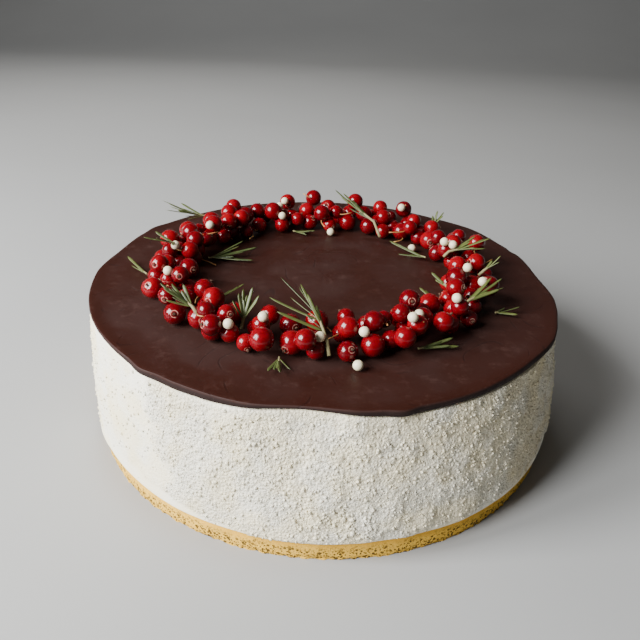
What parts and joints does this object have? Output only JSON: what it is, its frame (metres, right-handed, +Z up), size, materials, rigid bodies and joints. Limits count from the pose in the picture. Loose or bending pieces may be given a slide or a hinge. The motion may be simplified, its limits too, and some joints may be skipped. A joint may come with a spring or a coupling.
{
  "type": "souffle cake",
  "caption": "Round uncut souffle cake on a sponge base with a chocolate top and a wreath of red currants, sugar pearls and rosemary.",
  "frame": {"origin": "centre of the sponge's flat underside", "axes": "+Z up out of the top, the front looks along -Y, +X to the right"},
  "size_m": [0.2283, 0.2284, 0.0912],
  "materials": {
    "sponge": "matte, porous yellow sponge",
    "souffle": "matte, crumbed white souffle",
    "chocolate": "satin, hand-spread dark chocolate",
    "currant": "glossy, translucent red skin",
    "sugar": "matte off-white sugar",
    "rosemary": "matte green leaf with a paler underside"
  },
  "bodies": {
    "root": {"sponge_base": "sponge", "souffle": "souffle", "chocolate_top": "chocolate", "currant_wreath": "currant", "sugar_pearl_1": "sugar", "sugar_pearl_2": "sugar", "sugar_pearl_3": "sugar", "rosemary_sprig_01": "rosemary", "rosemary_sprig_02": "rosemary", "rosemary_sprig_03": "rosemary", "rosemary_sprig_04": "rosemary", "rosemary_sprig_05": "rosemary", "rosemary_sprig_06": "rosemary", "rosemary_sprig_07": "rosemary", "rosemary_sprig_08": "rosemary", "rosemary_sprig_09": "rosemary", "rosemary_sprig_10": "rosemary", "rosemary_sprig_11": "rosemary", "rosemary_sprig_12": "rosemary", "rosemary_sprig_13": "rosemary", "rosemary_sprig_14": "rosemary", "rosemary_sprig_15": "rosemary", "rosemary_sprig_16": "rosemary", "rosemary_sprig_17": "rosemary", "rosemary_sprig_18": "rosemary", "rosemary_sprig_19": "rosemary", "rosemary_sprig_20": "rosemary"}
  },
  "joints": []
}
